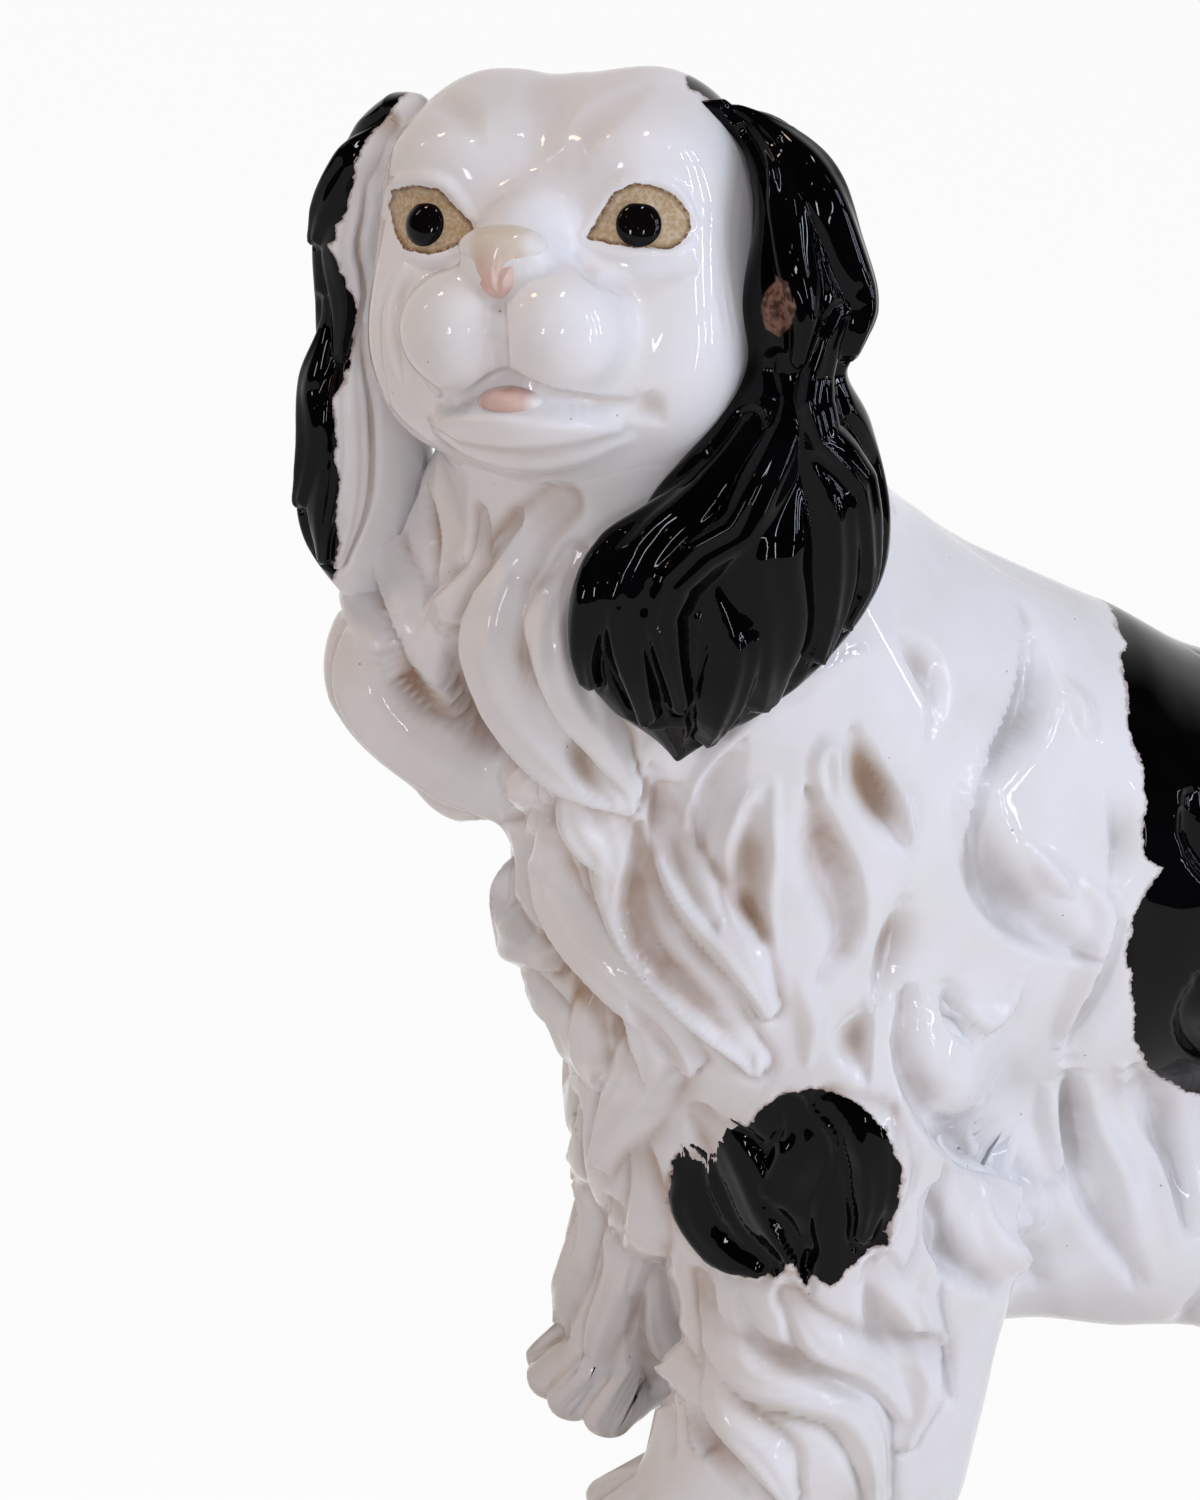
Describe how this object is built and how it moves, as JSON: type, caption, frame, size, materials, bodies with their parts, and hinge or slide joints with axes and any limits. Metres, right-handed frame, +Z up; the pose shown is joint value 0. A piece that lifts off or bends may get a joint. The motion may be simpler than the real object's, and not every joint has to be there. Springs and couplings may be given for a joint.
{
  "type": "dog statue",
  "caption": "Life-size standing toy spaniel figure in black and white glazed earthenware, hollow cast in sections, its head turned to its left.",
  "frame": {"origin": "on the surface that the statue stands on, under the middle of its bounding box", "axes": "+Z up, -Y the way the body faces, +X the dog's left"},
  "size_m": [0.1576, 0.4432, 0.4279],
  "materials": {
    "white_glaze": "glossy warm white glaze over buff earthenware, thinner and pinker in the hollows",
    "black_glaze": "glossy black glaze, thinning to brown at its ragged edges",
    "eye_glaze": "glossy black enamel dome",
    "nose_bisque": "satin painted pinkish buff",
    "tongue_bisque": "satin painted pink"
  },
  "bodies": {
    "root": {"torso": "white_glaze", "neck_and_ruff": "white_glaze", "head": "white_glaze", "left_ear": "black_glaze", "right_ear": "black_glaze", "left_foreleg": "white_glaze", "right_foreleg": "white_glaze", "left_hindleg": "white_glaze", "right_hindleg": "white_glaze", "tail": "black_glaze", "left_eye": "eye_glaze", "right_eye": "eye_glaze", "nose": "nose_bisque", "tongue": "tongue_bisque"}
  },
  "joints": []
}
